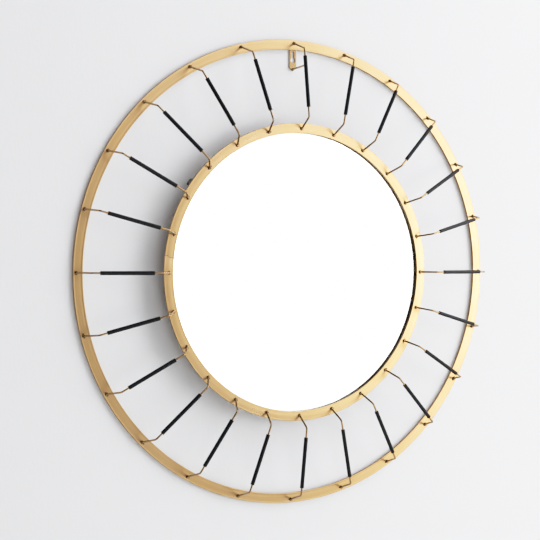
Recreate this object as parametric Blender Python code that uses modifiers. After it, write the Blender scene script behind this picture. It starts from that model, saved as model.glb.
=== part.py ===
# Round wall mirror. A flat outer hoop lies close to the wall, and a smaller hoop that frames the glass
# stands forward of it. Bent wires join the two hoops like spokes, each with a black sleeve on its run.
#
# Units are metres. The wall is the plane Y = 0, the mirror faces -Y and +Z is up. The origin is on the
# back of the hanger plate, just above its slot, where the mirror hangs.
#
# Below, a radius is measured from the hoops' common centre and a height is measured out from the wall.

import math

import bpy
from mathutils import Vector

# Clearance between two pieces that touch
TOUCH_GAP = 0.0003

# Hoops of flat bar
OUTER_HOOP_RADIUS = 0.380
OUTER_HOOP_BAND = 0.016
INNER_HOOP_RADIUS = 0.242
INNER_HOOP_BAND = 0.016
BAR_THICKNESS = 0.0035
BAR_EASE = 0.0005
INNER_HOOP_RISE = 0.0279
HOOP_STEPS = 96

# Glass, board and the clips that hold them behind the inner hoop
GLASS_RADIUS = 0.232
GLASS_THICKNESS = 0.004
BOARD_RADIUS = 0.2315
BOARD_THICKNESS = 0.009
DISC_STEPS = 72
CLIP_ANGLES = (36.5, 143.5, 270.0)
CLIP_OUTER_RADIUS = 0.241
CLIP_REACH = 0.019
CLIP_WIDTH = 0.010
CLIP_THICKNESS = 0.0015

# Spoke wires: the radius of each foot, and the (radius, height) where the straight legs and run would meet
SPOKES = 24
WIRE_RADIUS = 0.0015
OUTER_FOOT_RADIUS = 0.3746
INNER_FOOT_RADIUS = 0.2329
OUTER_CORNER = (0.3629, 0.0411)
INNER_CORNER = (0.2508, 0.0584)
BEND_RADIUS = 0.0045
BEND_STEPS = 2
WELD_RADIUS = 0.0023
WELD_HEIGHT = 0.0024

# Sleeves, placed by the radii of their two ends
SLEEVE_INNER_END = 0.2668
SLEEVE_OUTER_END = 0.3503
SLEEVE_RADIUS = 0.00315
SLEEVE_BORE_RADIUS = 0.00195
SLEEVE_STEPS = 8

# Hanger plate: lengths run down from the outer hoop's inner edge
PLATE_THICKNESS = 0.002
PLATE_WIDTH = 0.013
PLATE_OVERLAP = 0.0024
SHOULDER_DROP = 0.0285
TIP_DROP = 0.0345
KEYHOLE_DROP = 0.0165
KEYHOLE_RADIUS = 0.0042
SLOT_TOP_DROP = 0.0022
SLOT_WIDTH = 0.0045
ARC_STEPS = 8

# Brace from the plate's tip to the top spoke's sleeve
BRACE_RADIUS = 0.0015
BRACE_FOOT_DROP = 0.0315
BRACE_HEAD_DROP = 0.0290

# Heights of the faces, out from the wall
OUTER_HOOP_BACK = PLATE_THICKNESS + TOUCH_GAP
OUTER_HOOP_FRONT = OUTER_HOOP_BACK + BAR_THICKNESS
INNER_HOOP_FRONT = OUTER_HOOP_FRONT + INNER_HOOP_RISE
INNER_HOOP_BACK = INNER_HOOP_FRONT - BAR_THICKNESS
GLASS_FRONT = INNER_HOOP_BACK - TOUCH_GAP
GLASS_BACK = GLASS_FRONT - GLASS_THICKNESS
BOARD_FRONT = GLASS_BACK - TOUCH_GAP
BOARD_BACK = BOARD_FRONT - BOARD_THICKNESS
CLIP_FOOT_FRONT = BOARD_BACK - TOUCH_GAP

# The nail bears on the metal between the slot's end and the plate's rounded top
HOOP_INNER_EDGE = OUTER_HOOP_RADIUS - OUTER_HOOP_BAND
HANG_RADIUS = HOOP_INNER_EDGE + (PLATE_OVERLAP - SLOT_TOP_DROP) / 2

# Materials: base colour, roughness, metallic
FINISHES = {
    "brass_satin": ((0.62, 0.43, 0.19), 0.32, 1.0),
    "sleeve_black": ((0.012, 0.012, 0.013), 0.55, 0.0),
    "mirror_silver": ((0.92, 0.93, 0.93), 0.02, 1.0),
    "board_dark": ((0.045, 0.038, 0.032), 0.80, 0.0),
    "clip_black": ((0.020, 0.020, 0.020), 0.45, 1.0),
}


def clear_scene():
    for obj in list(bpy.data.objects):
        bpy.data.objects.remove(obj, do_unlink=True)


def make_material(name):
    colour, roughness, metallic = FINISHES[name]
    material = bpy.data.materials.new(name)
    material.use_nodes = True
    shader = material.node_tree.nodes["Principled BSDF"]
    shader.inputs["Base Color"].default_value = (*colour, 1.0)
    shader.inputs["Roughness"].default_value = roughness
    shader.inputs["Metallic"].default_value = metallic
    return material


def place(name, data, parent, collection, location=(0, 0, 0), rotation=(0, 0, 0)):
    obj = bpy.data.objects.new(name, data)
    obj.parent = parent
    obj.location = location
    obj.rotation_euler = rotation
    collection.objects.link(obj)
    return obj


def turned_mesh(name, profile, steps, material, hollow):
    """The mesh of a profile of (radius, height) points turned about Z, smooth where it is round."""
    count = len(profile)
    edges = [(i, i + 1) for i in range(count - 1)]
    if hollow:
        edges.append((count - 1, 0))
    outline = bpy.data.meshes.new(name + "_profile")
    outline.from_pydata([(radius, 0, height) for radius, height in profile], edges, [])
    lathe = bpy.data.objects.new(name + "_lathe", outline)
    bpy.context.scene.collection.objects.link(lathe)
    screw = lathe.modifiers.new("Turn", "SCREW")
    screw.steps = steps
    screw.render_steps = steps
    screw.use_merge_vertices = True
    screw.merge_threshold = 0.0001
    graph = bpy.context.evaluated_depsgraph_get()
    mesh = bpy.data.meshes.new_from_object(lathe.evaluated_get(graph))
    bpy.data.objects.remove(lathe, do_unlink=True)
    mesh.name = name
    mesh.shade_smooth()
    mesh.set_sharp_from_angle(angle=math.radians(40))
    mesh.materials.append(material)
    return mesh


def hoop_profile(radius, band, back, front):
    """Flat bar on its broad side, with eased front corners."""
    inner = radius - band
    return (
        (inner + BAR_EASE, front),
        (radius - BAR_EASE, front),
        (radius, front - BAR_EASE),
        (radius, back),
        (inner, back),
        (inner, front - BAR_EASE),
    )


def disc_profile(radius, back, front):
    return ((0, front), (radius, front), (radius, back), (0, back))


def tube_profile(outer, bore, length):
    half = length / 2
    return ((outer, half), (outer, -half), (bore, -half), (bore, half))


def arc(centre, radius, start, end, steps):
    """Points on a circle, from one angle in degrees to another."""
    points = []
    for step in range(steps + 1):
        angle = math.radians(start + (end - start) * step / steps)
        points.append((centre[0] + radius * math.cos(angle), centre[1] + radius * math.sin(angle)))
    return points


def rounded_corner(before, corner, after, radius, steps):
    """Points along the bend that replaces a sharp corner, all as (radius, height)."""
    corner = Vector(corner)
    into = (corner - Vector(before)).normalized()
    out = (Vector(after) - corner).normalized()
    turn = into.angle(out)
    reach = radius * math.tan(turn / 2)
    side = Vector((-into.y, into.x))
    if side.dot(out) < 0:
        side = -side
    centre = corner - into * reach + side * radius
    points = []
    for step in range(steps + 1):
        angle = turn * step / steps
        points.append(centre - side * radius * math.cos(angle) + into * radius * math.sin(angle))
    return points


def wire_curve(name, stations, material):
    """A round wire through (radius, height, thickness factor) stations in its own X-Z plane."""
    curve = bpy.data.curves.new(name, "CURVE")
    curve.dimensions = "3D"
    curve.bevel_depth = WIRE_RADIUS
    curve.bevel_resolution = 2
    curve.use_fill_caps = True
    spline = curve.splines.new("POLY")
    spline.points.add(len(stations) - 1)
    for point, (radius, height, factor) in zip(spline.points, stations):
        point.co = (radius, 0, height, 1)
        point.radius = factor
    curve.materials.append(material)
    return curve


def plate_curve(name, outlines, thickness, material):
    """A flat plate from closed outlines in X-Y; an outline inside another is a hole."""
    curve = bpy.data.curves.new(name, "CURVE")
    curve.dimensions = "2D"
    curve.fill_mode = "BOTH"
    curve.extrude = thickness / 2
    for outline in outlines:
        spline = curve.splines.new("POLY")
        spline.points.add(len(outline) - 1)
        for point, (x, y) in zip(spline.points, outline):
            point.co = (x, y, 0, 1)
        spline.use_cyclic_u = True
    curve.materials.append(material)
    return curve


def weld_stations(foot_radius, face, corner):
    """The flared weld at a wire's foot: straight up from the hoop's face, then into the leaning leg."""
    flare = WELD_RADIUS / WIRE_RADIUS
    foot = Vector((foot_radius, face + TOUCH_GAP))
    shoulder = foot + Vector((0, WELD_HEIGHT / 3))
    top = foot + (Vector(corner) - foot).normalized() * WELD_HEIGHT
    return [(*foot, flare), (*shoulder, flare), (*top, 1.0)]


def spoke_stations():
    """The wire's centre line from its outer foot to its inner foot."""
    outer_weld = weld_stations(OUTER_FOOT_RADIUS, OUTER_HOOP_FRONT, OUTER_CORNER)
    inner_weld = weld_stations(INNER_FOOT_RADIUS, INNER_HOOP_FRONT, INNER_CORNER)
    outer_leg_start = outer_weld[-1][:2]
    inner_leg_start = inner_weld[-1][:2]
    outer_bend = rounded_corner(outer_leg_start, OUTER_CORNER, INNER_CORNER, BEND_RADIUS, BEND_STEPS)
    inner_bend = rounded_corner(OUTER_CORNER, INNER_CORNER, inner_leg_start, BEND_RADIUS, BEND_STEPS)
    middle = [(*point, 1.0) for point in outer_bend + inner_bend]
    return outer_weld + middle + inner_weld[::-1]


def run_height(radius):
    """Height of the wire's sloping run at a radius."""
    (outer_radius, outer_height), (inner_radius, inner_height) = OUTER_CORNER, INNER_CORNER
    share = (radius - inner_radius) / (outer_radius - inner_radius)
    return inner_height + (outer_height - inner_height) * share


def run_tilt():
    """Turn about Y that lays a piece's Z axis along the run, pointing outwards."""
    across = OUTER_CORNER[0] - INNER_CORNER[0]
    rise = OUTER_CORNER[1] - INNER_CORNER[1]
    return math.atan2(across, rise)


def add_hoops(centre, collection, brass):
    sizes = {
        "outer_hoop": (OUTER_HOOP_RADIUS, OUTER_HOOP_BAND, OUTER_HOOP_BACK, OUTER_HOOP_FRONT),
        "inner_hoop": (INNER_HOOP_RADIUS, INNER_HOOP_BAND, INNER_HOOP_BACK, INNER_HOOP_FRONT),
    }
    for name, size in sizes.items():
        mesh = turned_mesh(name, hoop_profile(*size), HOOP_STEPS, brass, hollow=True)
        place(name, mesh, centre, collection)


def add_glass_and_board(centre, collection, silver, board):
    discs = {
        "mirror_glass": (GLASS_RADIUS, GLASS_BACK, GLASS_FRONT, silver),
        "backing_board": (BOARD_RADIUS, BOARD_BACK, BOARD_FRONT, board),
    }
    for name, (radius, back, front, material) in discs.items():
        profile = disc_profile(radius, back, front)
        mesh = turned_mesh(name, profile, DISC_STEPS, material, hollow=False)
        place(name, mesh, centre, collection)


def add_clips(centre, collection, black):
    """Bent tabs: a leg stands back from the inner hoop, and its foot lies over the board's back."""
    leg_front = INNER_HOOP_BACK - TOUCH_GAP
    foot_back = CLIP_FOOT_FRONT - CLIP_THICKNESS
    foot_end = CLIP_OUTER_RADIUS - CLIP_REACH
    leg_inside = CLIP_OUTER_RADIUS - CLIP_THICKNESS
    outline = (
        (leg_inside, leg_front),
        (leg_inside, CLIP_FOOT_FRONT),
        (foot_end, CLIP_FOOT_FRONT),
        (foot_end, foot_back),
        (leg_inside, foot_back),
        (CLIP_OUTER_RADIUS, CLIP_FOOT_FRONT),
        (CLIP_OUTER_RADIUS, leg_front),
    )
    data = plate_curve("retaining_clip", [outline], CLIP_WIDTH, black)
    for number, angle in enumerate(CLIP_ANGLES, start=1):
        rotation = (math.radians(90), 0, math.radians(angle))
        place(f"retaining_clip_{number}", data, centre, collection, rotation=rotation)


def add_spokes(centre, collection, brass, black):
    """The wires and their sleeves, clockwise from the top. Each pair hangs on an empty turned to its angle."""
    wire = wire_curve("spoke_wire", spoke_stations(), brass)
    tilt = run_tilt()
    length = (SLEEVE_OUTER_END - SLEEVE_INNER_END) / math.sin(tilt)
    profile = tube_profile(SLEEVE_RADIUS, SLEEVE_BORE_RADIUS, length)
    sleeve = turned_mesh("sleeve", profile, SLEEVE_STEPS, black, hollow=True)
    middle = (SLEEVE_INNER_END + SLEEVE_OUTER_END) / 2
    for number in range(1, SPOKES + 1):
        angle = math.radians(90 - (number - 1) * 360 / SPOKES)
        spoke = place(f"spoke_{number:02d}", None, centre, collection, rotation=(0, 0, angle))
        place(f"spoke_wire_{number:02d}", wire, spoke, collection)
        place(
            f"sleeve_{number:02d}",
            sleeve,
            spoke,
            collection,
            location=(middle, 0, run_height(middle)),
            rotation=(0, tilt, 0),
        )


def plate_outline():
    """Rounded top, straight sides and a pointed lower end."""
    half = PLATE_WIDTH / 2
    top_centre = HOOP_INNER_EDGE + PLATE_OVERLAP - half
    shoulder = HOOP_INNER_EDGE - SHOULDER_DROP
    tip = HOOP_INNER_EDGE - TIP_DROP
    top = arc((0, top_centre), half, 0, 180, ARC_STEPS)
    return top + [(-half, shoulder), (0, tip), (half, shoulder)]


def keyhole_outline():
    """A round hole with a narrow slot up from it, which ends in a half circle."""
    hole_centre = (0, HOOP_INNER_EDGE - KEYHOLE_DROP)
    slot_radius = SLOT_WIDTH / 2
    slot_centre = (0, HOOP_INNER_EDGE - SLOT_TOP_DROP - slot_radius)
    mouth = math.degrees(math.acos(slot_radius / KEYHOLE_RADIUS))
    hole = arc(hole_centre, KEYHOLE_RADIUS, 180 - mouth, 360 + mouth, 2 * ARC_STEPS)
    slot = arc(slot_centre, slot_radius, 0, 180, ARC_STEPS)
    return hole + slot


def add_hanger(centre, collection, brass):
    plate = plate_curve("hanger_plate", [plate_outline(), keyhole_outline()], PLATE_THICKNESS, brass)
    place("hanger_plate", plate, centre, collection, location=(0, 0, PLATE_THICKNESS / 2))
    foot = HOOP_INNER_EDGE - BRACE_FOOT_DROP
    head = HOOP_INNER_EDGE - BRACE_HEAD_DROP
    sleeve_back = run_height(head + BRACE_RADIUS) - SLEEVE_RADIUS / math.sin(run_tilt())
    lean = BRACE_RADIUS * (head - foot) / sleeve_back
    start = (foot, PLATE_THICKNESS + TOUCH_GAP + lean, 1.0)
    end = (head, sleeve_back - TOUCH_GAP - lean, 1.0)
    brace = wire_curve("hanger_brace", [start, end], brass)
    place("hanger_brace", brace, centre, collection, rotation=(0, 0, math.radians(90)))


def main():
    clear_scene()
    collection = bpy.data.collections.new("wall_mirror")
    bpy.context.scene.collection.children.link(collection)
    finish = {name: make_material(name) for name in FINISHES}
    # In the centre's own axes X is to the right, Y is up and Z comes out from the wall.
    stand_up = (math.radians(90), 0, 0)
    centre = place("hoop_centre", None, None, collection, (0, 0, -HANG_RADIUS), stand_up)
    add_hoops(centre, collection, finish["brass_satin"])
    add_glass_and_board(centre, collection, finish["mirror_silver"], finish["board_dark"])
    add_clips(centre, collection, finish["clip_black"])
    add_spokes(centre, collection, finish["brass_satin"], finish["sleeve_black"])
    add_hanger(centre, collection, finish["brass_satin"])


main()
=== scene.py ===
# Looks of the round wall mirror: finely modelled hoops, wires, sleeves, glass, clips and hanger in place of
# the plain solids, their procedural materials, a pale wall and floor, soft light and the camera.
#
# Lengths are metres and angles degrees. A radius is measured from the hoops' common centre and a height
# is measured out from the wall, towards the viewer. Angle 0 points right and 90 up, as seen from the front.

import math

import bmesh
import bpy
from mathutils import Matrix, Vector, noise


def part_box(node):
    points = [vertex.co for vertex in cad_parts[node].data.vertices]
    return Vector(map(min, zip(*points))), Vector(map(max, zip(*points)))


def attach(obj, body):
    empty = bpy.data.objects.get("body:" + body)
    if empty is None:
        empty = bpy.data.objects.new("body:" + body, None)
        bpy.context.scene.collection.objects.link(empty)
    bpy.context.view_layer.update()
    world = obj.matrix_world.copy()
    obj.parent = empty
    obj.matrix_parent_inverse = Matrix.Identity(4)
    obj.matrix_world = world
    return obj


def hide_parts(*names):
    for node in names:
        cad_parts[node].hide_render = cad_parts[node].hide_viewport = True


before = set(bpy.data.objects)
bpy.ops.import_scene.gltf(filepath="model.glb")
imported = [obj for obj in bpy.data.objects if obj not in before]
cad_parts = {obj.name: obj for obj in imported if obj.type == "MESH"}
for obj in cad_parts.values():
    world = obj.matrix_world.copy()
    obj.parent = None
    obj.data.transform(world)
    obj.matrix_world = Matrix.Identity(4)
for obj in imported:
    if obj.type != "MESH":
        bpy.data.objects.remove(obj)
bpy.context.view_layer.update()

# Read from the frame
outer_low, outer_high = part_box("outer_hoop")
inner_low, inner_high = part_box("inner_hoop")
glass_low, glass_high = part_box("mirror_glass")
board_low, board_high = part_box("backing_board")
plate_low, plate_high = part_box("hanger_plate")
brace_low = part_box("hanger_brace")[0]
CENTRE = Vector((0, 0, (outer_low.z + outer_high.z) / 2))
OUTER_RADIUS = (outer_high.x - outer_low.x) / 2
INNER_RADIUS = (inner_high.x - inner_low.x) / 2
OUTER_FRONT, OUTER_BACK = -outer_low.y, -outer_high.y
INNER_FRONT, INNER_BACK = -inner_low.y, -inner_high.y
GLASS_RADIUS = (glass_high.x - glass_low.x) / 2
GLASS_FRONT, GLASS_BACK = -glass_low.y, -glass_high.y
BOARD_RADIUS = (board_high.x - board_low.x) / 2
BOARD_FRONT, BOARD_BACK = -board_low.y, -board_high.y

# Flat bar of the hoops. The relief of a face is given from its inner edge outwards, as the distance where a
# strip starts and the strip's slope in degrees: a strip that faces a little towards the centre is positive.
BAND = 0.016
EDGE_ROUND = 0.0006
OUTER_RELIEF = (
    (0.0006, 1.0),
    (0.0014, -2.2),
    (0.0034, 2.8),
    (0.0056, 0.2),
    (0.0130, 2.5),
)
INNER_RELIEF = (
    (0.0006, -0.3),
    (0.0020, -0.9),
    (0.0038, 0.9),
    (0.0068, -0.9),
    (0.0105, -1.2),
    (0.0128, 0.0),
)
RELIEF_TURN = 0.0002
HOOP_STEPS = 720

# The hoops' sides get painted shade, a darker colour than their faces. A face counts as a side below the
# first share of facing out of the wall, as a front above the second
SIDE_TO_FRONT = (0.35, 0.8)

# Steps round a softened edge, and round one next to a hoop's face
EDGE_STEPS = 4
FACE_EDGE_STEPS = 6

# Butt weld of the inner hoop, ground flush: a hairline groove with a step in it, brighter metal below it.
# Each is full over the core's share of its width and fades from there.
SEAM_ANGLE = 173.65
SEAM_WIDTH = 0.0005
SEAM_DEPTH = 0.00018
SEAM_LINE = 0.0005
SEAM_DRIFT = 0.0003
SEAM_STEP = 0.0022
SEAM_STEP_START = 0.2345
SEAM_STEP_END = 0.2365
SEAM_PATCH = 0.020
SEAM_CORE = 0.4
SEAM_LINE_STRENGTH = 0.85
SEAM_PATCH_STRENGTH = 0.5

# Spoke wires
SPOKES = 24
WIRE_RADIUS = 0.0015
OUTER_FOOT = 0.3746
INNER_FOOT = 0.2329
FOOT_GAP = 0.0002
OUTER_CORNER = (0.3629, 0.0411)
INNER_CORNER = (0.2508, 0.0583)
BEND_RADIUS = 0.0045
BEND_STEPS = 12
WIRE_SIDES = 16

# Weld at each foot of a wire: an uneven bead, and a smaller splash on either side of it. Chance swings a
# splash's offset and size about a usual share of the measures given here.
BEAD_RADIUS = 0.0028
BEAD_HEIGHT = 0.0024
SPLASH_RADIUS = 0.0015
SPLASH_HEIGHT = 0.0010
SPLASH_OFFSET = 0.0027
SPLASH_OFFSET_SHARE = 0.85
SPLASH_OFFSET_SWING = 0.45
SPLASH_SIZE_SHARE = 0.9
SPLASH_SIZE_SWING = 0.6
BEAD_DETAIL = 4
SPLASH_DETAIL = 3

# Browning by heat, with painted contact shade, fades between these heights above a hoop's front. On the outer
# hoop it lies outside one radius and on the inner hoop inside the other, so it keeps to the wires' feet.
BURN_AND_SHADE_START = 0.0011
BURN_AND_SHADE_END = 0.0026
BURN_AND_SHADE_OUTER_LIMIT = 0.368
BURN_AND_SHADE_INNER_LIMIT = 0.246

# Coarse and fine lumps of a bead: how close they lie and the share by which they swell it. A stride is the
# step in the noise from one weld to the next, or from one side of a weld to the other.
COARSE_LUMPS = 1.6
COARSE_SWELL = 0.20
COARSE_STRIDE = 3.7
FINE_LUMPS = 4.5
FINE_SWELL = 0.06
FINE_STRIDE = 1.9
WELD_STRIDE = 2.3
SIDE_STRIDE = 5.1
SPLASH_SEED_STEP = 0.3

# Sleeves
SLEEVE_INNER_END = 0.2668
SLEEVE_OUTER_END = 0.3503
SLEEVE_RADIUS = 0.00315
SLEEVE_BORE = 0.0017
SLEEVE_SIDES = 40
SLEEVE_RINGS = 24
SLEEVE_EDGE = 0.0004

# Fineness of the sleeves' streaks, round a sleeve and along it
SLEEVE_STREAKS = (24, 40, 1)

# Glass with a silver layer on its back, and the board behind them
DISC_STEPS = 360
PANE_BACK = GLASS_BACK + 0.0001
PANE_EDGE = 0.0003
SILVER_RADIUS = GLASS_RADIUS - 0.0003
SILVER_BACK = GLASS_BACK - 0.0001
SILVER_FRONT = GLASS_BACK + 0.00005
SILVER_EDGE = 0.00005
BOARD_EDGE = 0.0006

# Hanger plate, measured down from the outer hoop's inner edge, and the brace from its tip to the top wire
HOOP_INNER_EDGE = OUTER_RADIUS - BAND
PLATE_WIDTH = plate_high.x - plate_low.x
PLATE_THICKNESS = plate_high.y - plate_low.y
PLATE_TOP = 0.0024
SHOULDER_DROP = 0.0285
TIP_DROP = 0.0345
KEYHOLE_DROP = 0.0165
KEYHOLE_RADIUS = 0.0042
SLOT_TOP_DROP = 0.0022
SLOT_WIDTH = 0.0045
PLATE_EDGE = 0.0003
PLATE_TOP_STEPS = 32
KEYHOLE_STEPS = 40
SLOT_TOP_STEPS = 20
BRACE_FOOT_DROP = 0.0315
BRACE_HEAD_DROP = 0.0290
BRACE_BEAD_RADIUS = 0.0022
BRACE_BEAD_HEIGHT = 0.0013
BRACE_BEAD_SEED = 71

# Points of the plate closer than this are merged, and faces that look this straight out of the wall or into
# it are its broad ones
MERGE_DISTANCE = 1e-6
BROAD_FACE = 0.999

# Clips. Edges that turn by more than the sharp turn, in radians, are bevelled.
CLIP_ANGLES = (36.5, 143.5, 270.0)
CLIP_OUTER_RADIUS = 0.241
CLIP_REACH = 0.019
CLIP_WIDTH = 0.010
CLIP_THICKNESS = 0.0015
CLIP_GAP = 0.0003
CLIP_BEND = 0.0016
CLIP_BEND_STEPS = 6
CLIP_EDGE = 0.0002
CLIP_SHARP_TURN = 0.8

# Paint wears off where an edge sticks out: it starts at the first pointiness and is gone at the second
WORN_EDGE = (0.54, 0.62)

# Edges sharper than this, in degrees, are not shaded smooth
SHARP_ANGLE = 35

# Colours, as linear red, green and blue
WHITE = (1.0, 1.0, 1.0)
BRASS_LIGHT = (0.505, 0.327, 0.154)
BRASS_DEEP = (0.440, 0.272, 0.110)
# Painted shade for the hoops' narrow sides
BRASS_SIDE_SHADE = (0.24, 0.150, 0.068)
BRASS_GROUND = (0.62, 0.41, 0.22)
WIRE_LIGHT = (0.38, 0.241, 0.106)
WIRE_DEEP = (0.205, 0.123, 0.049)
# Heat browning with painted contact shade at the wires' feet; the deep one also draws the inner hoop's weld
# line
BURNT_AND_SHADED_LIGHT = (0.16, 0.090, 0.035)
BURNT_AND_SHADED_DEEP = (0.030, 0.017, 0.008)
RUBBER_DEEP = (0.0012, 0.0012, 0.0013)
RUBBER_LIGHT = (0.0045, 0.0045, 0.0048)
CLEAR_GLASS = (0.985, 1.0, 0.992)
SILVER_DEEP = (0.955, 0.96, 0.96)
SILVER_LIGHT = (0.975, 0.98, 0.98)
BOARD_DEEP = (0.030, 0.026, 0.023)
BOARD_LIGHT = (0.070, 0.060, 0.052)
CLIP_BLACK = (0.004, 0.004, 0.004)
CLIP_WORN = (0.05, 0.04, 0.03)
WALL_PAINT = (0.800, 0.80, 0.794)
FLOOR_PAINT = (0.78, 0.78, 0.77)

# Wall and floor. The mottle is how much lighter the paint gets in places.
PAINT_MOTTLE = 1.02
PLASTER_STRETCH = (1, 1, 0.4)
WALL_Y = 0.0004
WALL_RISE = 2.2
FLOOR_DROP = 1.3
FLOOR_FRONT = -2.6
FLOOR_BACK = 3.0
STAGE_HALF_WIDTH = 3.0

# Soft panels in front of the mirror. A column spans the directions from one angle to another, to the right of
# straight out from the wall as seen from the hoops' centre. It has one panel for each step upwards, with the
# brightness given here, and none where that is 0. Panels from SKY_RISE upwards are a little bluer.
PANEL_DISTANCE = 4.0
PANEL_OVERLAP = 1.04
PANEL_RISES = (-28, -12, -4, 4, 12, 28, 60)
PANEL_COLUMNS = {
    "room_left": (-60, -20, (0.0, 0.0, 0.0, 0.0, 0.0, 0.8)),
    "room_middle": (-20, 5, (2.8, 1.1, 0.95, 0.9, 1.2, 0.3)),
    "room_right": (5, 21, (0.9, 0.1, 0.0, 0.0, 0.8, 0.25)),
    "window_near": (21, 30, (0.0, 2.9, 3.8, 2.8, 1.4, 0.5)),
    "window_middle": (30, 38, (0.1, 3.2, 4.0, 3.9, 2.5, 0.65)),
    "window_far": (38, 60, (2.95, 5.2, 8.6, 6.9, 5.3, 2.2)),
    "side": (60, 88, (2.75, 2.4, 2.5, 2.35, 3.6, 2.7)),
}
SKY_RISE = 4
SKY_TINT = (0.975, 0.985, 1.07)

# A panel high up in front of the mirror, and one behind the wall for the mirror's back
CEILING_PLACE = (1.6, -1.6, 3.0)
CEILING_SIZE = 2.5
CEILING_BRIGHTNESS = 3.3
BACK_PLACE = (-1.2, 2.2, 1.0)
BACK_SIZE = 2.4
BACK_BRIGHTNESS = 2.0

# Brightness of the surroundings: as they light the object, and as the camera sees them
ROOM_FILL = 0.02
ROOM_SEEN = 1.1

# Tones above the shoulder are pressed together below the white level
TONE_RANGE = 6.0
TONE_SHOULDER = 0.394
TONE_WHITE = 1.061
TONE_STEPS = 24

# Camera, from the photograph: it looks at a point on the plane of the outer hoop's front
CAMERA_YAW = 27.92
CAMERA_PITCH = 1.05
CAMERA_ROLL = 0.41
CAMERA_DISTANCE = 2.295
CAMERA_AIM = (-0.0417, 0.0033)
FOCAL_PIXELS = 1408.2
IMAGE_PIXELS = 540
SENSOR_WIDTH = 36.0

# Most of a noise lies in the first range and its middle in the second. Noise in the third hazes the glass.
NOISE_RANGE = (0.3, 0.7)
NOISE_MIDDLE = (0.35, 0.65)
HAZE_RANGE = (0.4, 0.7)

# Brushed grain of the hoops: a metre across the band counts as much as this many radians round the hoop
GRAIN_ACROSS = 60.0


# Node helpers


def new_material(name):
    material = bpy.data.materials.new(name)
    material.use_nodes = True
    tree = material.node_tree
    return material, tree, tree.nodes["Principled BSDF"]


def add_node(tree, kind, **settings):
    node = tree.nodes.new(kind)
    for key, value in settings.items():
        setattr(node, key, value)
    return node


def feed(tree, socket, value):
    """Links another node's socket to this one, or sets a plain value on it."""
    if isinstance(value, bpy.types.NodeSocket):
        tree.links.new(value, socket)
    elif value is not None:
        socket.default_value = value


def math_node(tree, operation, first, second=None):
    node = add_node(tree, "ShaderNodeMath", operation=operation)
    feed(tree, node.inputs[0], first)
    feed(tree, node.inputs[1], second)
    return node.outputs[0]


def vector_node(tree, operation, first, second=None, output="Vector"):
    node = add_node(tree, "ShaderNodeVectorMath", operation=operation)
    feed(tree, node.inputs[0], first)
    feed(tree, node.inputs[1], second)
    return node.outputs[output]


def dot_product(tree, first, second):
    return vector_node(tree, "DOT_PRODUCT", first, second, output="Value")


def average(tree, first, second):
    return math_node(tree, "MULTIPLY", math_node(tree, "ADD", first, second), 0.5)


def noise_node(tree, vector, scale, detail=3.0, roughness=0.55):
    node = add_node(tree, "ShaderNodeTexNoise")
    node.inputs["Scale"].default_value = scale
    node.inputs["Detail"].default_value = detail
    node.inputs["Roughness"].default_value = roughness
    tree.links.new(vector, node.inputs["Vector"])
    return node.outputs["Fac"]


def map_range(tree, value, source, target):
    """Moves a value from one range to another."""
    node = add_node(tree, "ShaderNodeMapRange")
    tree.links.new(value, node.inputs["Value"])
    for name, number in zip(("From Min", "From Max", "To Min", "To Max"), (*source, *target)):
        node.inputs[name].default_value = number
    return node.outputs["Result"]


def spread_noise(tree, value, low, high, source=NOISE_RANGE):
    return map_range(tree, value, source, (low, high))


def blend_colours(tree, factor, first, second):
    """The mix of two colours; either may be a socket."""
    node = add_node(tree, "ShaderNodeMix", data_type="RGBA")
    tree.links.new(factor, node.inputs["Factor"])
    for name, colour in (("A", first), ("B", second)):
        socket = [s for s in node.inputs if s.name == name and s.type == "RGBA"][0]
        feed(tree, socket, (*colour, 1.0) if isinstance(colour, tuple) else colour)
    return [s for s in node.outputs if s.type == "RGBA"][0]


def add_bump(tree, shader, height, strength, distance):
    node = add_node(tree, "ShaderNodeBump")
    node.inputs["Strength"].default_value = strength
    node.inputs["Distance"].default_value = distance
    tree.links.new(height, node.inputs["Height"])
    tree.links.new(node.outputs["Normal"], shader.inputs["Normal"])


def object_coordinates(tree):
    return add_node(tree, "ShaderNodeTexCoord").outputs["Object"]


# Materials


def hoop_plane(tree, coordinates):
    """The place in the hoops' plane, as a vector, and its distance from their centre."""
    flat = vector_node(tree, "MULTIPLY", coordinates, (1, 0, 1))
    return flat, vector_node(tree, "LENGTH", flat, output="Value")


def round_grain(tree, coordinates):
    """Coordinates that follow the hoop round: slow along the circumference, fast across the band."""
    flat, radius = hoop_plane(tree, coordinates)
    along = vector_node(tree, "NORMALIZE", flat)
    across = add_node(tree, "ShaderNodeCombineXYZ")
    tree.links.new(math_node(tree, "MULTIPLY", radius, GRAIN_ACROSS), across.inputs["Y"])
    return vector_node(tree, "ADD", along, across.outputs["Vector"])


def side_shade_mask(tree):
    """The hoops' narrow sides, which get painted shade: a darker colour than their faces."""
    normal = add_node(tree, "ShaderNodeNewGeometry").outputs["Normal"]
    facing = math_node(tree, "ABSOLUTE", dot_product(tree, normal, (0, 1, 0)))
    return map_range(tree, facing, SIDE_TO_FRONT, (1.0, 0.0))


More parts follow.
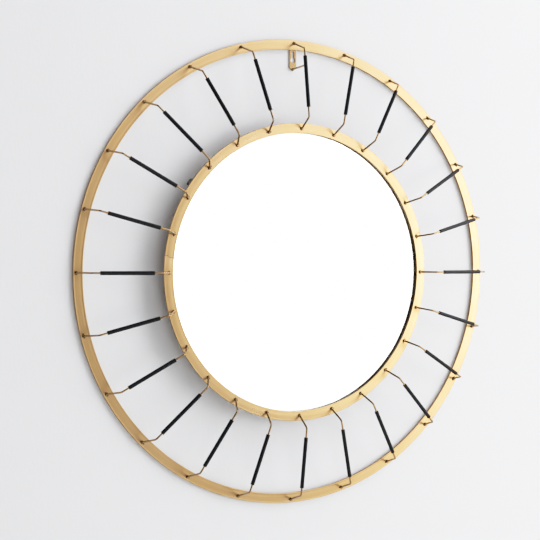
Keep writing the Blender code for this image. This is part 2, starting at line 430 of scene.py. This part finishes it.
def seam_marks(tree, coordinates):
    """Where the inner hoop's weld shows: its dark line, and the ground metal below it."""
    flat, radius = hoop_plane(tree, coordinates)
    turn = math.radians(SEAM_ANGLE)
    upwards = (math.sin(turn), 0, -math.cos(turn))
    place = dot_product(tree, flat, upwards)
    step = map_range(tree, radius, (SEAM_STEP_START, SEAM_STEP_END), (SEAM_STEP, 0.0))
    place = math_node(tree, "ADD", place, step)
    uneven = noise_node(tree, coordinates, scale=600.0, detail=2.0)
    place = math_node(tree, "ADD", place, spread_noise(tree, uneven, -SEAM_DRIFT, SEAM_DRIFT))
    away = math_node(tree, "ABSOLUTE", place)
    line = map_range(tree, away, (SEAM_LINE * SEAM_CORE, SEAM_LINE), (1.0, 0.0))
    patch = map_range(tree, place, (-SEAM_PATCH, -SEAM_PATCH * SEAM_CORE), (0.0, 1.0))
    patch = math_node(tree, "MULTIPLY", patch, math_node(tree, "LESS_THAN", place, 0.0))
    left = math_node(tree, "LESS_THAN", dot_product(tree, flat, (1, 0, 0)), 0.0)
    line = math_node(tree, "MULTIPLY", line, left)
    patch = math_node(tree, "MULTIPLY", patch, left)
    line = math_node(tree, "MULTIPLY", line, SEAM_LINE_STRENGTH)
    return line, math_node(tree, "MULTIPLY", patch, SEAM_PATCH_STRENGTH)


def lacquer_metal(shader, lacquer_roughness):
    shader.inputs["Metallic"].default_value = 1.0
    shader.inputs["Coat Weight"].default_value = 0.25
    shader.inputs["Coat Roughness"].default_value = lacquer_roughness


def hoop_brass(name, seamed=False):
    """Satin brass-coloured metal under clear lacquer, brushed along the bar."""
    material, tree, shader = new_material(name)
    coordinates = object_coordinates(tree)
    tangent = add_node(tree, "ShaderNodeTangent", direction_type="RADIAL", axis="Y")
    tree.links.new(tangent.outputs["Tangent"], shader.inputs["Tangent"])
    shader.inputs["Anisotropic"].default_value = 0.35
    grain = noise_node(tree, round_grain(tree, coordinates), scale=7.0, detail=2.0, roughness=0.5)
    cloud = noise_node(tree, coordinates, scale=14.0, detail=3.0)
    tint = spread_noise(tree, average(tree, grain, cloud), 0.0, 1.0)
    colour = blend_colours(tree, tint, BRASS_DEEP, BRASS_LIGHT)
    # Painted shade: the hoops' narrow sides are coloured darker than their faces
    colour = blend_colours(tree, side_shade_mask(tree), colour, BRASS_SIDE_SHADE)
    if seamed:
        line, patch = seam_marks(tree, coordinates)
        colour = blend_colours(tree, patch, colour, BRASS_GROUND)
        colour = blend_colours(tree, line, colour, BURNT_AND_SHADED_DEEP)
    tree.links.new(colour, shader.inputs["Base Color"])
    tree.links.new(spread_noise(tree, cloud, 0.31, 0.27), shader.inputs["Roughness"])
    lacquer_metal(shader, lacquer_roughness=0.12)
    return material


def weld_burn_and_shade(tree, coordinates):
    """Where the welding heat browned the metal, with painted contact shade added there: low on the beads and
    the wires' feet, fading upwards.
    """
    radius = hoop_plane(tree, coordinates)[1]
    height = dot_product(tree, coordinates, (0, -1, 0))
    burns_and_shades = []
    for front, side, limit in (
        (OUTER_FRONT, "GREATER_THAN", BURN_AND_SHADE_OUTER_LIMIT),
        (INNER_FRONT, "LESS_THAN", BURN_AND_SHADE_INNER_LIMIT),
    ):
        low = map_range(tree, height, (front + BURN_AND_SHADE_START, front + BURN_AND_SHADE_END), (1.0, 0.0))
        burns_and_shades.append(math_node(tree, "MULTIPLY", low, math_node(tree, side, radius, limit)))
    return math_node(tree, "MAXIMUM", *burns_and_shades)


def wire_brass():
    """Smooth drawn wire of the same brass colour, a little darker, browned and painted in contact shade at
    the welds.
    """
    material, tree, shader = new_material("wire_brass")
    coordinates = object_coordinates(tree)
    fine = noise_node(tree, coordinates, scale=420.0, detail=2.0)
    cloud = noise_node(tree, coordinates, scale=30.0, detail=3.0)
    shade = average(tree, fine, cloud)
    colour = blend_colours(tree, spread_noise(tree, shade, 0.0, 1.0), WIRE_DEEP, WIRE_LIGHT)
    flakes = noise_node(tree, coordinates, scale=1100.0, detail=3.0)
    flakes = spread_noise(tree, flakes, 0.0, 1.0, NOISE_MIDDLE)
    burnt_and_shaded = blend_colours(tree, flakes, BURNT_AND_SHADED_DEEP, BURNT_AND_SHADED_LIGHT)
    # Heat browning and painted contact shade, low on the beads and the wires' feet
    colour = blend_colours(tree, weld_burn_and_shade(tree, coordinates), colour, burnt_and_shaded)
    tree.links.new(colour, shader.inputs["Base Color"])
    tree.links.new(spread_noise(tree, shade, 0.23, 0.13), shader.inputs["Roughness"])
    lacquer_metal(shader, lacquer_roughness=0.10)
    add_bump(tree, shader, fine, strength=0.10, distance=0.0001)
    return material


def sleeve_rubber():
    """Smooth black rubber with fine lengthwise marks from moulding."""
    material, tree, shader = new_material("sleeve_rubber")
    coordinates = object_coordinates(tree)
    wrap = add_node(tree, "ShaderNodeUVMap", uv_map="wrap").outputs["UV"]
    stretched = vector_node(tree, "MULTIPLY", wrap, SLEEVE_STREAKS)
    streak = noise_node(tree, stretched, scale=1.0, detail=3.0)
    grain = noise_node(tree, coordinates, scale=2600.0, detail=2.0)
    shade = average(tree, streak, grain)
    tree.links.new(blend_colours(tree, shade, RUBBER_DEEP, RUBBER_LIGHT), shader.inputs["Base Color"])
    tree.links.new(spread_noise(tree, shade, 0.10, 0.19), shader.inputs["Roughness"])
    shader.inputs["Specular IOR Level"].default_value = 0.15
    add_bump(tree, shader, shade, strength=0.08, distance=0.0002)
    return material


def clear_glass():
    """Clear float glass, with a trace of unevenness in its polish."""
    material, tree, shader = new_material("clear_glass")
    haze = noise_node(tree, object_coordinates(tree), scale=6.0, detail=2.0)
    tree.links.new(spread_noise(tree, haze, 0.0, 0.004, HAZE_RANGE), shader.inputs["Roughness"])
    shader.inputs["Base Color"].default_value = (*CLEAR_GLASS, 1.0)
    shader.inputs["Transmission Weight"].default_value = 1.0
    shader.inputs["IOR"].default_value = 1.52
    return material


def mirror_silver():
    """The silver layer behind the glass: a near perfect mirror from the front."""
    material, tree, shader = new_material("mirror_silver")
    cloud = noise_node(tree, object_coordinates(tree), scale=9.0, detail=2.0)
    tree.links.new(blend_colours(tree, cloud, SILVER_DEEP, SILVER_LIGHT), shader.inputs["Base Color"])
    tree.links.new(spread_noise(tree, cloud, 0.004, 0.012), shader.inputs["Roughness"])
    shader.inputs["Metallic"].default_value = 1.0
    return material


def board_paint():
    """Dark painted fibreboard: mottled, slightly rough, with small flecks."""
    material, tree, shader = new_material("board_paint")
    coordinates = object_coordinates(tree)
    cloud = noise_node(tree, coordinates, scale=22.0, detail=5.0)
    fleck = noise_node(tree, coordinates, scale=700.0, detail=2.0)
    shade = average(tree, cloud, fleck)
    mottle = spread_noise(tree, shade, 0.0, 1.0, NOISE_MIDDLE)
    tree.links.new(blend_colours(tree, mottle, BOARD_DEEP, BOARD_LIGHT), shader.inputs["Base Color"])
    tree.links.new(spread_noise(tree, fleck, 0.62, 0.85), shader.inputs["Roughness"])
    add_bump(tree, shader, shade, strength=0.35, distance=0.0005)
    return material


def clip_paint():
    """Black painted steel, worn lighter along its edges."""
    material, tree, shader = new_material("clip_paint")
    grain = noise_node(tree, object_coordinates(tree), scale=500.0, detail=4.0)
    edge = add_node(tree, "ShaderNodeNewGeometry").outputs["Pointiness"]
    wear = math_node(tree, "MULTIPLY", map_range(tree, edge, WORN_EDGE, (0.0, 1.0)), grain)
    tree.links.new(blend_colours(tree, wear, CLIP_BLACK, CLIP_WORN), shader.inputs["Base Color"])
    tree.links.new(spread_noise(tree, grain, 0.38, 0.52), shader.inputs["Roughness"])
    shader.inputs["Specular IOR Level"].default_value = 0.2
    add_bump(tree, shader, grain, strength=0.15, distance=0.0002)
    return material


# Mesh helpers


def polar(radius, angle, height):
    """A point from its radius, its angle in degrees and its height, with the hoops' centre on the wall as
    origin."""
    turn = math.radians(angle)
    return Vector((radius * math.cos(turn), -height, radius * math.sin(turn)))


def arc(centre, radius, start, end, steps):
    """Points on a circle in a plane, from one angle in degrees to another."""
    angles = (math.radians(start + (end - start) * step / steps) for step in range(steps + 1))
    return [(centre[0] + radius * math.cos(a), centre[1] + radius * math.sin(a)) for a in angles]


def finish_piece(bm, name, material, slot, *nodes):
    """Turns the mesh into an object at the hoops' centre that stands for its nodes."""
    bmesh.ops.recalc_face_normals(bm, faces=bm.faces)
    mesh = bpy.data.meshes.new(name)
    bm.to_mesh(mesh)
    bm.free()
    mesh.shade_smooth()
    mesh.set_sharp_from_angle(angle=math.radians(SHARP_ANGLE))
    mesh.materials.append(material)
    piece = bpy.data.objects.new(name, mesh)
    piece.location = CENTRE
    bpy.context.scene.collection.objects.link(piece)
    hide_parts(*nodes)
    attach(piece, "root")
    return piece


def join_rings(bm, rings):
    """Faces between neighbours in a row of closed rings with the same number of corners."""
    for ring, following in zip(rings, rings[1:]):
        for i, corner in enumerate(ring):
            j = (i + 1) % len(ring)
            bm.faces.new((corner, ring[j], following[j], following[i]))


def turn_profile(bm, profile, angles):
    """Turns a closed (radius, height) profile about the hoops' axis, with a section at each angle."""
    rings = [[bm.verts.new(polar(radius, angle, height)) for radius, height in profile] for angle in angles]
    join_rings(bm, rings + rings[:1])
    return rings


def sweep(bm, points, radius, sideways, sides):
    """A round tube along a flat path. sideways is the normal of the path's plane."""
    rings = []
    last = len(points) - 1
    for i, point in enumerate(points):
        along = (points[min(i + 1, last)] - points[max(i - 1, 0)]).normalized()
        out = along.cross(sideways).normalized()
        ring = []
        for side in range(sides):
            turn = 2 * math.pi * side / sides
            ring.append(bm.verts.new(point + (out * math.cos(turn) + sideways * math.sin(turn)) * radius))
        rings.append(ring)
    join_rings(bm, rings)
    bm.faces.new(rings[0][::-1])
    bm.faces.new(rings[-1])


def add_bead(bm, place, radius, height, seed, detail=BEAD_DETAIL):
    """An uneven bead of weld, half sunk into a face that looks out of the wall."""
    bead = bmesh.ops.create_icosphere(bm, subdivisions=detail, radius=1.0)["verts"]
    for vert in bead:
        ball = vert.co.copy()
        coarse = noise.noise(ball * COARSE_LUMPS + Vector((seed * COARSE_STRIDE, 0, 0)))
        fine = noise.noise(ball * FINE_LUMPS + Vector((0, seed * FINE_STRIDE, 0)))
        lump = 1 + COARSE_SWELL * coarse + FINE_SWELL * fine
        vert.co = place + Vector((ball.x * radius, ball.y * height, ball.z * radius)) * lump


def add_weld(bm, place, sideways, seed):
    """The weld at a wire's foot: a bead round it and a splash on either side, none of them even."""
    add_bead(bm, place, BEAD_RADIUS, BEAD_HEIGHT, seed)
    for side in (-1, 1):
        drift = noise.noise(Vector((seed * WELD_STRIDE, side * SIDE_STRIDE, 0)))
        spot = place + sideways * side * SPLASH_OFFSET * (SPLASH_OFFSET_SHARE + SPLASH_OFFSET_SWING * drift)
        size = SPLASH_SIZE_SHARE + SPLASH_SIZE_SWING * drift
        radius, height = SPLASH_RADIUS * size, SPLASH_HEIGHT * size
        add_bead(bm, spot, radius, height, seed + side * SPLASH_SEED_STEP, SPLASH_DETAIL)


# Hoops


def face_line(relief):
    """Places across the face, from its inner edge, with their heights below its highest line. Each strip is
    flat up to a short turn at either end."""
    places = [place for place, slope in relief] + [BAND - EDGE_ROUND]
    line = [(places[0], 0.0)]
    height = 0.0
    for i, (place, slope) in enumerate(relief):
        rise = math.tan(math.radians(slope))
        length = places[i + 1] - place
        line += [(place + RELIEF_TURN, height + rise * RELIEF_TURN)]
        line += [(places[i + 1] - RELIEF_TURN, height + rise * (length - RELIEF_TURN))]
        height += rise * length
    line += [(places[-1], height)]
    highest = max(height for place, height in line)
    return [(place, height - highest) for place, height in line]


def band_profile(radius, back, front, relief):
    """Flat bar on its broad side, with rounded edges and the faint relief that bending left on its face."""
    inner = radius - BAND
    ease = EDGE_ROUND
    low = back + ease
    face = [(inner + place, front + height) for place, height in reversed(face_line(relief))]
    outer_top = face[0][1] - ease
    inner_top = face[-1][1] - ease
    points = arc((radius - ease, low), ease, -90, 0, EDGE_STEPS)
    points += arc((radius - ease, outer_top), ease, 0, 90, FACE_EDGE_STEPS)
    points += face[1:-1]
    points += arc((inner + ease, inner_top), ease, 90, 180, FACE_EDGE_STEPS)
    points += arc((inner + ease, low), ease, 180, 270, EDGE_STEPS)
    return points


def add_outer_hoop(brass):
    bm = bmesh.new()
    profile = band_profile(OUTER_RADIUS, OUTER_BACK, OUTER_FRONT, OUTER_RELIEF)
    turn_profile(bm, profile, [360 * step / HOOP_STEPS for step in range(HOOP_STEPS)])
    finish_piece(bm, "outer_hoop_bar", brass, "brass", "outer_hoop")


def add_inner_hoop(brass):
    """The hoop that frames the glass, with the hairline of its weld across the front and the sides."""
    bm = bmesh.new()
    profile = band_profile(INNER_RADIUS, INNER_BACK, INNER_FRONT, INNER_RELIEF)
    half = math.degrees(SEAM_WIDTH / 2 / INNER_RADIUS)
    seam = [SEAM_ANGLE + half * share for share in (-1.0, -SEAM_CORE, SEAM_CORE, 1.0)]
    room = math.degrees(SEAM_STEP / INNER_RADIUS) + 2 * half
    plain = (360 * step / HOOP_STEPS for step in range(HOOP_STEPS))
    angles = sorted([angle for angle in plain if abs(angle - SEAM_ANGLE) > room] + seam)
    rings = turn_profile(bm, profile, angles)
    first = angles.index(seam[0])
    for number, ring in enumerate(rings[first : first + len(seam)]):
        for vert, (radius, height) in zip(ring, profile):
            share = (SEAM_STEP_END - radius) / (SEAM_STEP_END - SEAM_STEP_START)
            vert.co.z -= SEAM_STEP * min(max(share, 0.0), 1.0)
            if number in (1, 2) and height > INNER_FRONT - 2 * EDGE_ROUND:
                vert.co.y += SEAM_DEPTH
    finish_piece(bm, "inner_hoop_bar", brass, "brass", "inner_hoop")


# Wires and sleeves


def rounded_corner(before, corner, after):
    """Points along the bend that replaces a sharp corner of a (radius, height) path."""
    into = (corner - before).normalized()
    out = (after - corner).normalized()
    turn = into.angle(out)
    side = Vector((-into.y, into.x))
    if side.dot(out) < 0:
        side = -side
    centre = corner - into * BEND_RADIUS * math.tan(turn / 2) + side * BEND_RADIUS
    angles = [turn * step / BEND_STEPS for step in range(BEND_STEPS + 1)]
    return [centre - side * BEND_RADIUS * math.cos(a) + into * BEND_RADIUS * math.sin(a) for a in angles]


def spoke_path():
    """The wire's centre line from its outer foot to its inner foot."""
    outer_foot = Vector((OUTER_FOOT, OUTER_FRONT + FOOT_GAP))
    inner_foot = Vector((INNER_FOOT, INNER_FRONT + FOOT_GAP))
    outer_corner, inner_corner = Vector(OUTER_CORNER), Vector(INNER_CORNER)
    outer_bend = rounded_corner(outer_foot, outer_corner, inner_corner)
    inner_bend = rounded_corner(outer_corner, inner_corner, inner_foot)
    return [outer_foot, *outer_bend, *inner_bend, inner_foot]


def run_height(radius):
    """The height of a wire's sloping run at a radius."""
    share = (radius - INNER_CORNER[0]) / (OUTER_CORNER[0] - INNER_CORNER[0])
    return INNER_CORNER[1] + (OUTER_CORNER[1] - INNER_CORNER[1]) * share


def spoke_angle(number):
    return 90 - (number - 1) * 360 / SPOKES


def add_wires(brass):
    path = spoke_path()
    for number in range(1, SPOKES + 1):
        angle = spoke_angle(number)
        sideways = polar(1, angle + 90, 0)
        bm = bmesh.new()
        points = [polar(p.x, angle, p.y) for p in path]
        sweep(bm, points, WIRE_RADIUS, sideways, WIRE_SIDES)
        add_weld(bm, points[0], sideways, number)
        add_weld(bm, points[-1], sideways, number + SPOKES)
        finish_piece(bm, f"wire_{number:02d}", brass, "brass", f"spoke_wire_{number:02d}")


def sleeve_profile(length):
    """Half section of the tube as (distance from its axis, place along it), with softened ends."""
    half = length / 2
    ease = SLEEVE_EDGE
    side = [(SLEEVE_RADIUS, half - length * step / SLEEVE_RINGS) for step in range(1, SLEEVE_RINGS)]
    points = [(SLEEVE_BORE, half)] + arc((SLEEVE_RADIUS - ease, half - ease), ease, 90, 0, EDGE_STEPS)
    points += side + arc((SLEEVE_RADIUS - ease, -half + ease), ease, 360, 270, EDGE_STEPS)
    return points + [(SLEEVE_BORE, -half)]


def turn_about(place, out, sideways):
    """Where a point lies round the tube, as a share of a full turn."""
    return math.atan2(place.dot(sideways), place.dot(out)) / (2 * math.pi)


def wrap_sleeve(bm, centre, along, out, sideways, start):
    """Texture coordinates that run round the tube and, in metres, along it."""
    wrap = bm.loops.layers.uv["wrap"]
    for face in bm.faces:
        middle_turn = turn_about(face.calc_center_median() - centre, out, sideways)
        for loop in face.loops:
            place = loop.vert.co - centre
            turn = turn_about(place, out, sideways)
            turn += round(middle_turn - turn)
            loop[wrap].uv = (turn, place.dot(along) + start)


def add_sleeves(rubber):
    """Tubes on the wires' sloping runs."""
    inner_end = Vector((SLEEVE_INNER_END, run_height(SLEEVE_INNER_END)))
    outer_end = Vector((SLEEVE_OUTER_END, run_height(SLEEVE_OUTER_END)))
    middle = (inner_end + outer_end) / 2
    along_flat = (outer_end - inner_end).normalized()
    out_flat = Vector((-along_flat.y, along_flat.x))
    profile = sleeve_profile((outer_end - inner_end).length)
    for number in range(1, SPOKES + 1):
        angle = spoke_angle(number)
        centre = polar(middle.x, angle, middle.y)
        along = polar(along_flat.x, angle, along_flat.y)
        out = polar(out_flat.x, angle, out_flat.y)
        sideways = polar(1, angle + 90, 0)
        bm = bmesh.new()
        bm.loops.layers.uv.new("wrap")
        rings = []
        for distance, place in profile:
            turns = (2 * math.pi * side / SLEEVE_SIDES for side in range(SLEEVE_SIDES))
            ring = [out * math.cos(turn) + sideways * math.sin(turn) for turn in turns]
            rings.append([bm.verts.new(centre + along * place + spoke * distance) for spoke in ring])
        join_rings(bm, rings + rings[:1])
        wrap_sleeve(bm, centre, along, out, sideways, number)
        finish_piece(bm, f"sleeve_tube_{number:02d}", rubber, "sleeve", f"sleeve_{number:02d}")


# Glass, board and clips


def disc_rim(radius, back, front, ease):
    """The rim of a round disc as (radius, height) points, from its back to its front."""
    rim = arc((radius - ease, back + ease), ease, 270, 360, EDGE_STEPS)
    return rim + arc((radius - ease, front - ease), ease, 0, 90, EDGE_STEPS)


def add_disc(name, rim, material, slot, node):
    bm = bmesh.new()
    centre_back = bm.verts.new(polar(0, 0, rim[0][1]))
    centre_front = bm.verts.new(polar(0, 0, rim[-1][1]))
    angles = [360 * step / DISC_STEPS for step in range(DISC_STEPS)]
    rings = [[bm.verts.new(polar(radius, angle, height)) for radius, height in rim] for angle in angles]
    for ring, following in zip(rings, rings[1:] + rings[:1]):
        bm.faces.new((centre_back, ring[0], following[0]))
        bm.faces.new((centre_front, following[-1], ring[-1]))
        for i in range(len(ring) - 1):
            bm.faces.new((ring[i], ring[i + 1], following[i + 1], following[i]))
    finish_piece(bm, name, material, slot, node)


def add_mirror(glass, silver, board):
    pane = disc_rim(GLASS_RADIUS, PANE_BACK, GLASS_FRONT, PANE_EDGE)
    layer = disc_rim(SILVER_RADIUS, SILVER_BACK, SILVER_FRONT, SILVER_EDGE)
    add_disc("glass_pane", pane, glass, "mirror", "mirror_glass")
    add_disc("silver_layer", layer, silver, "mirror", "mirror_glass")
    back = disc_rim(BOARD_RADIUS, BOARD_BACK, BOARD_FRONT, BOARD_EDGE)
    add_disc("back_board", back, board, "board", "backing_board")


def clip_outline():
    """Side view of a clip: a leg stands back from the inner hoop, and its foot lies over the board's back."""
    leg_front = INNER_BACK - CLIP_GAP
    foot_front = BOARD_BACK - CLIP_GAP
    foot_back = foot_front - CLIP_THICKNESS
    outer = CLIP_OUTER_RADIUS
    inside, end = outer - CLIP_THICKNESS, outer - CLIP_REACH
    outline = [(inside, leg_front), (inside, foot_front), (end, foot_front), (end, foot_back)]
    outline += arc((outer - CLIP_BEND, foot_back + CLIP_BEND), CLIP_BEND, 270, 360, CLIP_BEND_STEPS)
    return outline + [(outer, leg_front)]


def add_clips(black):
    outline = clip_outline()
    for number, angle in enumerate(CLIP_ANGLES, start=1):
        bm = bmesh.new()
        across = polar(1, angle + 90, 0) * (CLIP_WIDTH / 2)
        near = [bm.verts.new(polar(radius, angle, height) - across) for radius, height in outline]
        far = [bm.verts.new(polar(radius, angle, height) + across) for radius, height in outline]
        bm.faces.new(near)
        bm.faces.new(far[::-1])
        for i in range(len(outline)):
            j = (i + 1) % len(outline)
            bm.faces.new((near[i], near[j], far[j], far[i]))
        sharp = [edge for edge in bm.edges if edge.calc_face_angle(0) > CLIP_SHARP_TURN]
        bmesh.ops.bevel(bm, geom=sharp, offset=CLIP_EDGE, segments=2, affect="EDGES")
        finish_piece(bm, f"clip_tab_{number}", black, "clip", f"retaining_clip_{number}")


# Hanger


def plate_outlines():
    """The plate's outline, with a round top and a pointed tip, and the outline of its keyhole."""
    half = PLATE_WIDTH / 2
    outside = arc((0, HOOP_INNER_EDGE + PLATE_TOP - half), half, 0, 180, PLATE_TOP_STEPS)
    shoulder = HOOP_INNER_EDGE - SHOULDER_DROP
    outside += [(-half, shoulder), (0, HOOP_INNER_EDGE - TIP_DROP), (half, shoulder)]
    slot_radius = SLOT_WIDTH / 2
    mouth = math.degrees(math.acos(slot_radius / KEYHOLE_RADIUS))
    middle = (0, HOOP_INNER_EDGE - KEYHOLE_DROP)
    hole = arc(middle, KEYHOLE_RADIUS, 180 - mouth, 360 + mouth, KEYHOLE_STEPS)
    hole += arc((0, HOOP_INNER_EDGE - SLOT_TOP_DROP - slot_radius), slot_radius, 0, 180, SLOT_TOP_STEPS)
    return outside, hole


def add_hanger_plate(brass):
    """The keyhole plate, filled and bevelled by a flat curve. Its broad faces are shaded flat."""
    curve = bpy.data.curves.new("hanger_outline", "CURVE")
    curve.dimensions = "2D"
    curve.fill_mode = "BOTH"
    curve.extrude = PLATE_THICKNESS / 2 - PLATE_EDGE
    curve.bevel_depth = PLATE_EDGE
    curve.bevel_resolution = 2
    curve.offset = -PLATE_EDGE
    for outline in plate_outlines():
        spline = curve.splines.new("POLY")
        spline.points.add(len(outline) - 1)
        for point, (x, z) in zip(spline.points, outline):
            point.co = (x, z, 0, 1)
        spline.use_cyclic_u = True
    holder = bpy.data.objects.new("hanger_outline", curve)
    bpy.context.scene.collection.objects.link(holder)
    graph = bpy.context.evaluated_depsgraph_get()
    mesh = bpy.data.meshes.new_from_object(holder.evaluated_get(graph))
    bpy.data.objects.remove(holder, do_unlink=True)
    bm = bmesh.new()
    bm.from_mesh(mesh)
    bmesh.ops.remove_doubles(bm, verts=bm.verts, dist=MERGE_DISTANCE)
    stand_up = Matrix.Rotation(math.radians(90), 4, "X")
    to_wall = Matrix.Translation((0, -PLATE_THICKNESS / 2, 0))
    bmesh.ops.transform(bm, matrix=to_wall @ stand_up, verts=bm.verts)
    tab = finish_piece(bm, "hanger_tab", brass, "brass", "hanger_plate")
    for face in tab.data.polygons:
        face.use_smooth = abs(face.normal.y) < BROAD_FACE


def add_brace(brass):
    foot = HOOP_INNER_EDGE - BRACE_FOOT_DROP
    head = HOOP_INNER_EDGE - BRACE_HEAD_DROP
    start = Vector((0, -PLATE_THICKNESS, foot))
    end = Vector((0, brace_low.y, head))
    bm = bmesh.new()
    sweep(bm, [start, end], WIRE_RADIUS, Vector((1, 0, 0)), WIRE_SIDES)
    add_bead(bm, start, BRACE_BEAD_RADIUS, BRACE_BEAD_HEIGHT, BRACE_BEAD_SEED)
    finish_piece(bm, "brace_rod", brass, "brass", "hanger_brace")


# Stage


def stage_material(name, colour, one_sided):
    """Matt pale paint. The wall is see-through from behind, so that the mirror's back can be looked at."""
    material, tree, shader = new_material(name)
    coordinates = object_coordinates(tree)
    mottle = noise_node(tree, coordinates, scale=5.0, detail=4.0)
    lighter = tuple(min(1.0, share * PAINT_MOTTLE) for share in colour)
    tree.links.new(blend_colours(tree, mottle, colour, lighter), shader.inputs["Base Color"])
    shader.inputs["Roughness"].default_value = 0.9
    shader.inputs["Specular IOR Level"].default_value = 0.1
    upright = vector_node(tree, "MULTIPLY", coordinates, PLASTER_STRETCH)
    plaster = noise_node(tree, upright, scale=210.0, detail=3.0)
    add_bump(tree, shader, plaster, strength=0.35, distance=0.0005)
    if one_sided:
        clear = add_node(tree, "ShaderNodeBsdfTransparent")
        choose = add_node(tree, "ShaderNodeMixShader")
        tree.links.new(add_node(tree, "ShaderNodeNewGeometry").outputs["Backfacing"], choose.inputs["Fac"])
        tree.links.new(shader.outputs["BSDF"], choose.inputs[1])
        tree.links.new(clear.outputs["BSDF"], choose.inputs[2])
        tree.links.new(choose.outputs["Shader"], tree.nodes["Material Output"].inputs["Surface"])
    return material


def add_sheet(name, corners, material):
    mesh = bpy.data.meshes.new(name)
    mesh.from_pydata(corners, [], [(0, 1, 2, 3)])
    mesh.materials.append(material)
    sheet = bpy.data.objects.new(name, mesh)
    bpy.context.scene.collection.objects.link(sheet)
    return sheet


def add_stage():
    left, right = -STAGE_HALF_WIDTH, STAGE_HALF_WIDTH
    low, high = CENTRE.z - FLOOR_DROP, CENTRE.z + WALL_RISE
    wall_corners = [(left, WALL_Y, low), (right, WALL_Y, low), (right, WALL_Y, high), (left, WALL_Y, high)]
    front, back = FLOOR_FRONT, FLOOR_BACK
    floor_corners = [(left, front, low), (right, front, low), (right, back, low), (left, back, low)]
    wall_paint = stage_material("wall_paint", WALL_PAINT, one_sided=True)
    floor_paint = stage_material("floor_paint", FLOOR_PAINT, one_sided=False)
    wall = add_sheet("wall", wall_corners, wall_paint)
    wall.visible_shadow = False
    add_sheet("floor", floor_corners, floor_paint)


def add_panel(name, direction, distance, size, brightness, tint=WHITE):
    """A soft panel that faces the hoops' centre. The camera sees its light but not the panel."""
    width, height = size
    data = bpy.data.lights.new(name, "AREA")
    data.shape = "RECTANGLE"
    data.size = width
    data.size_y = height
    data.energy = math.pi * width * height * brightness
    data.color = tint
    panel = bpy.data.objects.new(name, data)
    panel.location = CENTRE + direction * distance
    panel.rotation_euler = direction.to_track_quat("Z", "Y").to_euler()
    panel.visible_camera = False
    bpy.context.scene.collection.objects.link(panel)


def panel_span(low, high):
    """How wide a panel is that spans two directions and laps a little over its neighbours."""
    return 2 * PANEL_DISTANCE * math.tan(math.radians(high - low) / 2) * PANEL_OVERLAP


def add_lights():
    for name, (left, right, brightnesses) in PANEL_COLUMNS.items():
        across = math.radians((left + right) / 2)
        for low, high, brightness in zip(PANEL_RISES, PANEL_RISES[1:], brightnesses):
            if not brightness:
                continue
            up = math.radians((low + high) / 2)
            level = math.cos(up)
            direction = Vector((math.sin(across) * level, -math.cos(across) * level, math.sin(up)))
            size = (panel_span(left, right) * level, panel_span(low, high))
            tint = SKY_TINT if low >= SKY_RISE else WHITE
            add_panel(f"{name}_{low}", direction, PANEL_DISTANCE, size, brightness / PANEL_OVERLAP**2, tint)
    for name, place, side, brightness in (
        ("ceiling", CEILING_PLACE, CEILING_SIZE, CEILING_BRIGHTNESS),
        ("back", BACK_PLACE, BACK_SIZE, BACK_BRIGHTNESS),
    ):
        place = Vector(place)
        add_panel(name, place.normalized(), place.length, (side, side), brightness)


def add_surroundings():
    """Dim and even, so that the panels do the lighting, but pale where they are seen past the wall."""
    world = bpy.data.worlds.new("room")
    world.use_nodes = True
    tree = world.node_tree
    background = tree.nodes["Background"]
    background.inputs["Color"].default_value = (*WHITE, 1.0)
    seen = add_node(tree, "ShaderNodeLightPath").outputs["Is Camera Ray"]
    strength = map_range(tree, seen, (0.0, 1.0), (ROOM_FILL, ROOM_SEEN))
    tree.links.new(strength, background.inputs["Strength"])
    bpy.context.scene.world = world


def set_tone():
    """Bright tones roll off softly towards white, as they do in a photograph."""
    view = bpy.context.scene.view_settings
    view.view_transform = "Standard"
    view.use_curve_mapping = True
    mapping = view.curve_mapping
    mapping.white_level = (TONE_RANGE, TONE_RANGE, TONE_RANGE)
    all_colours = mapping.curves[3]
    points = all_colours.points
    room = TONE_WHITE - TONE_SHOULDER
    for step in range(1, TONE_STEPS):
        bright = TONE_RANGE * (step / TONE_STEPS) ** 2
        rolled = TONE_SHOULDER + room * (1 - math.exp((TONE_SHOULDER - bright) / room))
        points.new(bright / TONE_RANGE, bright if bright < TONE_SHOULDER else min(rolled, 1.0))
    points[-1].location = (1.0, 1.0)
    mapping.update()


def add_camera():
    camera = bpy.data.objects.new("camera", bpy.data.cameras.new("camera"))
    bpy.context.scene.collection.objects.link(camera)
    camera.data.sensor_width = SENSOR_WIDTH
    camera.data.lens = FOCAL_PIXELS / IMAGE_PIXELS * SENSOR_WIDTH
    turn = (
        Matrix.Rotation(math.radians(-CAMERA_YAW), 4, "Z")
        @ Matrix.Rotation(math.radians(90 - CAMERA_PITCH), 4, "X")
        @ Matrix.Rotation(math.radians(CAMERA_ROLL), 4, "Z")
    )
    forward = -(turn.to_3x3() @ Vector((0, 0, 1)))
    aim = CENTRE + Vector((CAMERA_AIM[0], -OUTER_FRONT, CAMERA_AIM[1]))
    camera.matrix_world = Matrix.Translation(aim - forward * CAMERA_DISTANCE) @ turn
    bpy.context.scene.camera = camera


def main():
    wire = wire_brass()
    add_outer_hoop(hoop_brass("outer_brass"))
    add_inner_hoop(hoop_brass("inner_brass", seamed=True))
    add_wires(wire)
    add_sleeves(sleeve_rubber())
    add_mirror(clear_glass(), mirror_silver(), board_paint())
    add_clips(clip_paint())
    add_hanger_plate(wire)
    add_brace(wire)
    add_stage()
    add_lights()
    add_surroundings()
    add_camera()
    set_tone()


main()
